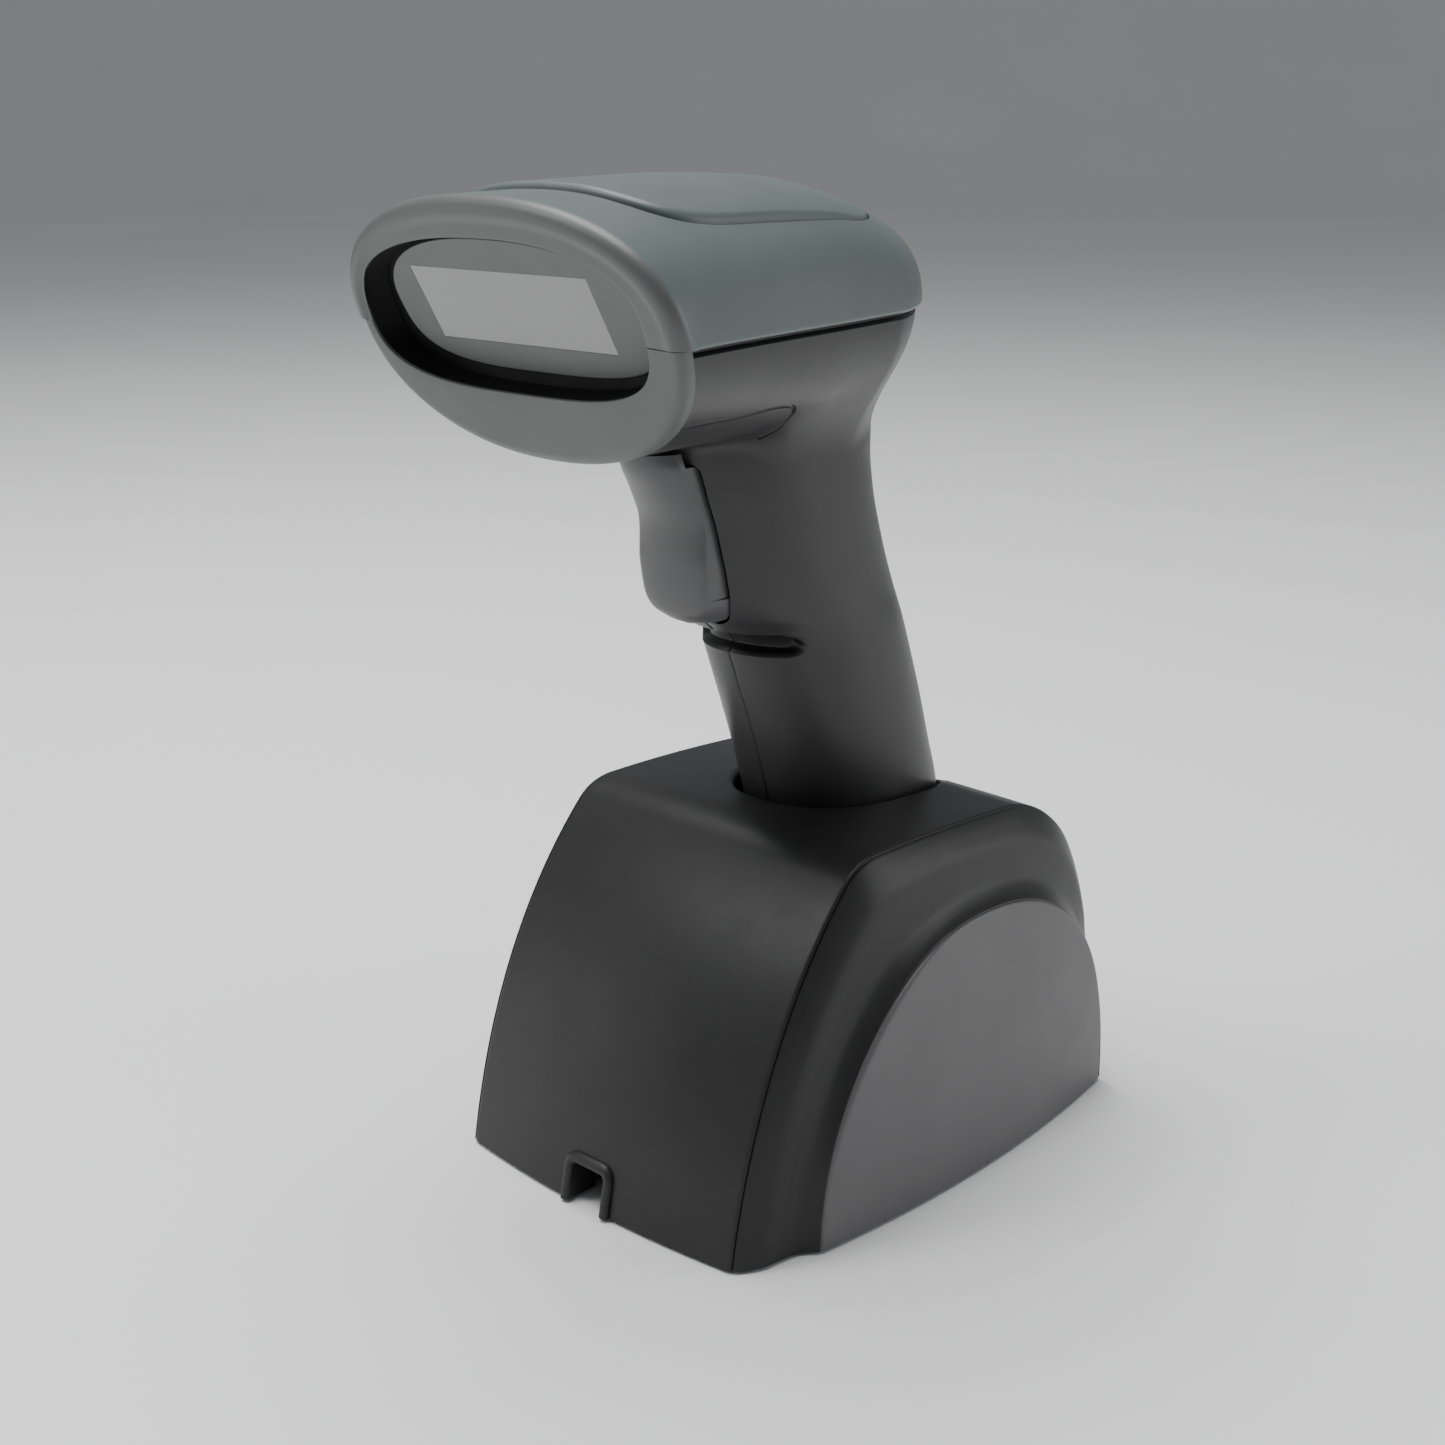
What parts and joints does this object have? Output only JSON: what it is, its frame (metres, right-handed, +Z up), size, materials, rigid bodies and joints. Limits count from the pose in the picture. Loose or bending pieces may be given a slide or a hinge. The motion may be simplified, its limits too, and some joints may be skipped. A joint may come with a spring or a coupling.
{
  "type": "cordless handheld barcode scanner with charging cradle",
  "caption": "Pistol-grip cordless barcode scanner with a finger trigger and a sloped scan window, standing in a weighted desktop charging cradle.",
  "frame": {"origin": "on the table, under the middle of the object's bounding box", "axes": "+Z up; -Y is the front, the side that the scan window and the cable notch face; +X is to the right seen from the front"},
  "size_m": [0.0794, 0.113, 0.1614],
  "materials": {
    "cradle_shell": "satin moulded dark grey plastic",
    "side_panel": "fine matte mid grey plastic",
    "body_shell": "satin moulded dark grey plastic",
    "cover_green": "fine matte grey-green plastic",
    "top_panel": "fine matte grey-green plastic",
    "face_grey": "matte grey plastic",
    "recess_black": "matte black plastic",
    "window_frosted": "smooth frosted light grey window",
    "trigger": "fine matte mid grey plastic",
    "inner_plastic": "matte black plastic",
    "rubber": "soft black rubber",
    "steel": "plain steel",
    "contact_brass": "gold-plated contact",
    "circuit_board": "green solder mask",
    "component_black": "moulded black component",
    "lens_glass": "clear lens",
    "battery_wrap": "blue shrink wrap"
  },
  "bodies": {
    "cradle": {"cradle_centre_shell": "cradle_shell", "cradle_flank_left": "cradle_shell", "cradle_flank_right": "cradle_shell", "cradle_side_panel_left": "side_panel", "cradle_side_panel_right": "side_panel", "base_plate": "inner_plastic", "base_screw_1": "steel", "base_screw_2": "steel", "base_screw_3": "steel", "base_screw_4": "steel", "rubber_foot_1": "rubber", "rubber_foot_2": "rubber", "rubber_foot_3": "rubber", "rubber_foot_4": "rubber", "ballast_plate": "steel", "cable_notch_frame": "cradle_shell", "cable_socket": "component_black", "cradle_board": "circuit_board", "handle_cup": "inner_plastic", "pin_block": "component_black"},
    "scanner": {"body_shell_left": "body_shell", "body_shell_right": "body_shell", "shell_screw_1": "steel", "shell_screw_2": "steel", "top_cover": "cover_green", "top_panel": "top_panel", "front_bezel": "face_grey", "window_frame": "recess_black", "window_plate": "face_grey", "scan_window": "window_frosted", "scan_engine": "component_black", "engine_lens": "lens_glass", "illumination_led_left": "lens_glass", "illumination_led_right": "lens_glass", "main_board": "circuit_board", "radio_module": "steel", "buzzer": "component_black", "battery_cell": "battery_wrap", "battery_contact_lower": "contact_brass", "battery_contact_upper": "contact_brass", "trigger_switch": "component_black", "trigger_pin": "steel", "handle_end_cap": "body_shell", "charge_pad_left": "contact_brass", "charge_pad_right": "contact_brass"},
    "trigger": {"trigger": "trigger", "trigger_spring": "steel"},
    "switch_plunger": {"switch_plunger": "recess_black"},
    "charge_pin_left": {"charge_pin_left": "contact_brass"},
    "charge_pin_right": {"charge_pin_right": "contact_brass"}
  },
  "joints": [
    {"name": "scanner_lift", "type": "slide", "parent": "cradle", "child": "scanner", "axis": [0, -0.2588, 0.9659], "range_m": [0, 0.045]},
    {"name": "trigger_pull", "type": "hinge", "parent": "scanner", "child": "trigger", "pos_m": [0, -0.01335, 0.117], "axis": [1, 0, 0], "range_deg": [0, 7.5], "stiffness_Nm_per_rad": 0.2, "springref_deg": -9.74},
    {"name": "switch_press", "type": "slide", "parent": "scanner", "child": "switch_plunger", "axis": [0, 1, 0], "range_m": [0, 0.002]},
    {"name": "charge_pin_left_press", "type": "slide", "parent": "cradle", "child": "charge_pin_left", "axis": [0, 0, 1], "range_m": [-0.0015, 0], "stiffness_N_per_m": 300, "springref_m": 0.001},
    {"name": "charge_pin_right_press", "type": "slide", "parent": "cradle", "child": "charge_pin_right", "axis": [0, 0, 1], "range_m": [-0.0015, 0], "stiffness_N_per_m": 300, "springref_m": 0.001}
  ],
  "couplings": [
    {"joint": "switch_press", "follows": "trigger_pull", "m_per_rad": 0.013}
  ]
}
